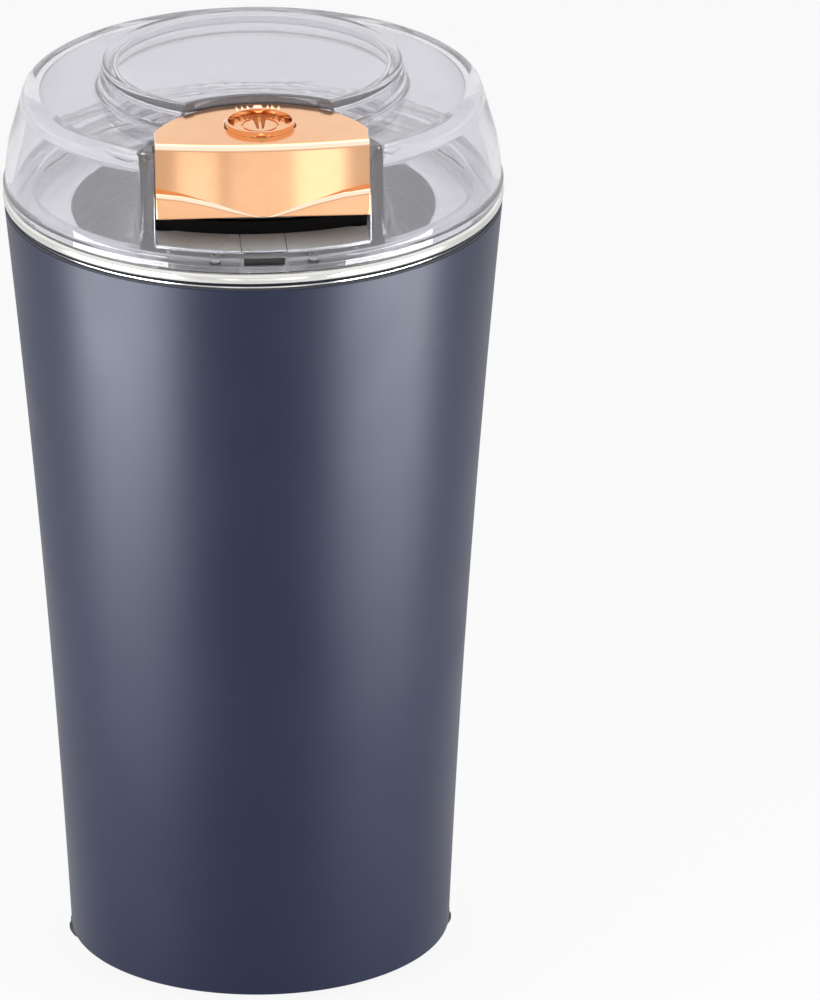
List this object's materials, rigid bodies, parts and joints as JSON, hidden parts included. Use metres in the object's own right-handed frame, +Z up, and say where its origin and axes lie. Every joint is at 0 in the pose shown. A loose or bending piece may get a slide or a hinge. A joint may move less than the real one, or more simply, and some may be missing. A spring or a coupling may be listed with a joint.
{
  "type": "electric spice grinder",
  "caption": "Upright electric spice grinder: tapered metal body, clear lid with a push button, steel grinding bowl with a spinning blade over a motor.",
  "frame": {"origin": "centre of the four feet, on the surface that the grinder stands on", "axes": "+Z up along the motor shaft, -Y towards the push button, +X to the right as seen from the button"},
  "size_m": [0.094, 0.094, 0.1781],
  "materials": {
    "sleeve_paint": "satin slate blue metallic paint",
    "rim_chrome": "polished",
    "bowl_steel": "spun stainless steel",
    "blade_steel": "ground stainless steel",
    "clear_plastic": "clear moulded plastic, faint violet grey tint",
    "rose_gold": "rose gold plating",
    "pocket_black": "matt black moulding",
    "white_nylon": "natural nylon",
    "black_plastic": "moulded black plastic",
    "frame_plastic": "moulded off-white plastic",
    "yellow_plastic": "film capacitor case",
    "blue_plastic": "terminal block",
    "red_plastic": "switch plunger",
    "board_green": "solder mask",
    "black_rubber": "matt",
    "lead_insulation": "wire insulation",
    "carbon": "pressed carbon",
    "screw_steel": "zinc plated",
    "spring_steel": "drawn wire",
    "lamination_steel": "varnished laminations",
    "copper_wire": "enamelled copper",
    "bearing_bronze": "sintered bronze",
    "cast_aluminium": "die cast"
  },
  "bodies": {
    "base": {"outer_sleeve": "sleeve_paint", "rim_ring": "rim_chrome", "top_collar": "black_plastic", "collar_screws": "screw_steel", "grinding_bowl": "bowl_steel", "bowl_washer": "black_rubber", "bowl_nut": "screw_steel", "motor_bracket": "cast_aluminium", "bracket_screws": "screw_steel", "upper_bearing": "bearing_bronze", "shaft_seal": "black_rubber", "inner_frame": "frame_plastic", "stator_core": "lamination_steel", "field_coils": "copper_wire", "lower_bracket": "black_plastic", "lower_bearing": "bearing_bronze", "motor_bolts": "screw_steel", "brush_holders": "bearing_bronze", "carbon_brushes": "carbon", "brush_springs": "spring_steel", "base_plate": "black_plastic", "base_screws": "screw_steel", "rubber_feet": "black_rubber", "circuit_board": "board_green", "board_screws": "screw_steel", "rectifier": "black_plastic", "suppressor_capacitor": "yellow_plastic", "terminal_block": "blue_plastic", "cord_gland": "black_rubber", "gland_nut": "black_plastic", "cord_clamp": "frame_plastic", "clamp_screws": "screw_steel", "motor_leads": "lead_insulation", "switch_leads": "lead_insulation", "microswitch": "black_plastic", "lever_pin": "screw_steel", "pin_spring": "spring_steel"},
    "rotor": {"drive_shaft": "screw_steel", "armature_core": "lamination_steel", "armature_windings": "copper_wire", "commutator": "copper_wire", "cooling_fan": "black_plastic", "blade_spacer": "screw_steel", "blade": "blade_steel", "blade_nut": "screw_steel"},
    "lid": {"lid_shell": "clear_plastic", "button_guide": "pocket_black", "guide_screws": "screw_steel", "button_springs": "spring_steel"},
    "button": {"button_cap": "rose_gold", "button_carrier": "pocket_black", "plunger": "white_nylon"},
    "interlock": {"interlock_pin": "white_nylon", "pin_clip": "spring_steel"},
    "lever": {"switch_lever": "spring_steel"},
    "switch_key": {"switch_plunger": "red_plastic"}
  },
  "joints": [
    {"name": "rotor_spin", "type": "hinge", "parent": "base", "child": "rotor", "pos_m": [0, 0, 0.1], "axis": [0, 0, 1], "continuous": true},
    {"name": "lid_lift", "type": "slide", "parent": "base", "child": "lid", "axis": [0, 0, 1], "range_m": [0, 0.06]},
    {"name": "button_press", "type": "slide", "parent": "lid", "child": "button", "axis": [0, 0, -1], "range_m": [0, 0.0025], "stiffness_N_per_m": 600, "springref_m": -0.002, "deforming": ["button_springs"]},
    {"name": "interlock_travel", "type": "slide", "parent": "base", "child": "interlock", "axis": [0, 0, -1], "range_m": [0, 0.0025], "stiffness_N_per_m": 150, "springref_m": -0.001, "deforming": ["pin_spring"]},
    {"name": "lever_swing", "type": "hinge", "parent": "base", "child": "lever", "pos_m": [-0.0109, -0.0387, 0.1344], "axis": [0, 1, 0], "range_deg": [0, 13.5]},
    {"name": "switch_travel", "type": "slide", "parent": "base", "child": "switch_key", "axis": [0, 0, -1], "range_m": [0, 0.0017]}
  ],
  "couplings": [
    {"joint": "interlock_travel", "follows": "button_press", "ratio": 1},
    {"joint": "lever_swing", "follows": "button_press", "rad_per_m": 92.57},
    {"joint": "switch_travel", "follows": "button_press", "ratio": 0.63}
  ]
}
